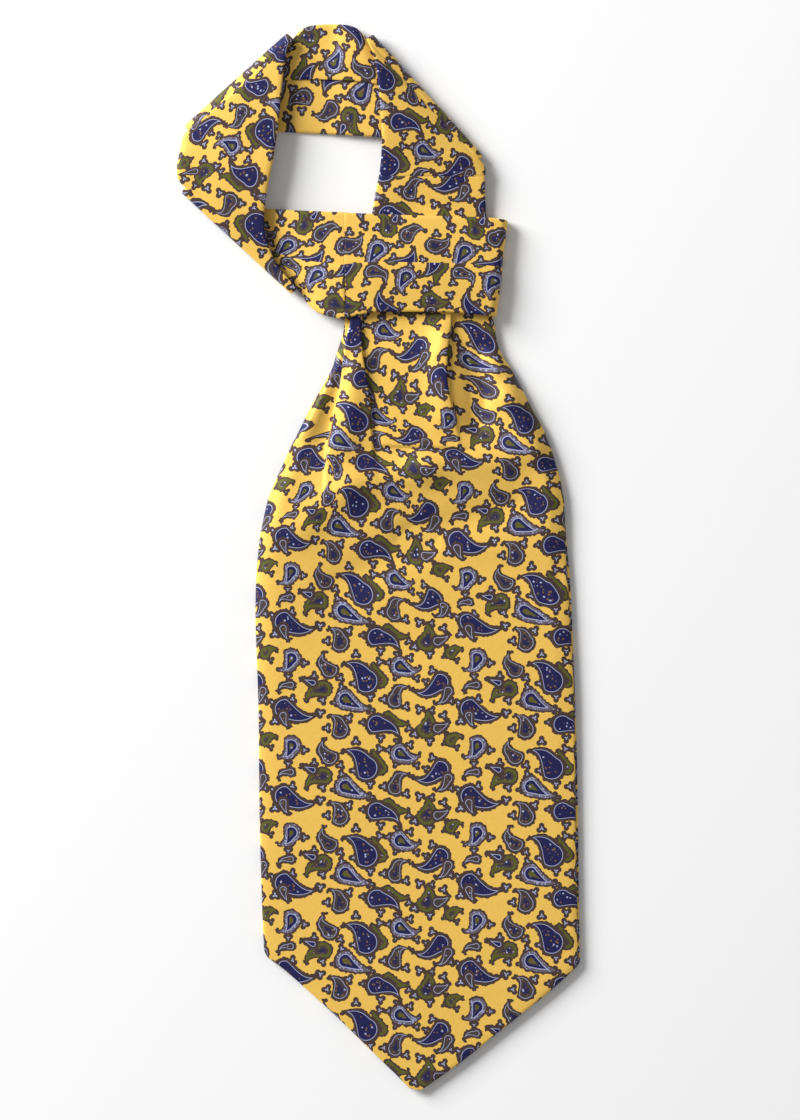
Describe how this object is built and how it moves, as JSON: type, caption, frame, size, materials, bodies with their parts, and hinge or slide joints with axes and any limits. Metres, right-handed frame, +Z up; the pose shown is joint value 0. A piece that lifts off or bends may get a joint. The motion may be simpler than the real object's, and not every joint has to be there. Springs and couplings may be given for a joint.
{
  "type": "silk cravat",
  "caption": "Silk cravat laid flat, its neckband folded into an open loop that crosses over the pleated neck of a wide pointed blade; paisley print.",
  "frame": {"origin": "bottom centre of the bounding box, on the surface that the cravat lies on", "axes": "+Y from the blade's point towards the neckband's loop, +Z up from the surface, +X to the right as seen from above"},
  "size_m": [0.191, 0.5056, 0.0086],
  "materials": {
    "printed_silk": "gold silk twill with a printed paisley of navy, olive, light blue and grey-purple, soft sheen"
  },
  "bodies": {
    "root": {"front_blade_face": "printed_silk", "front_blade_back": "printed_silk", "front_blade_neck": "printed_silk", "neckband_right": "printed_silk", "neckband_top": "printed_silk", "neckband_left": "printed_silk", "neckband_crossing": "printed_silk", "second_blade_neck": "printed_silk", "second_blade": "printed_silk"}
  },
  "joints": []
}
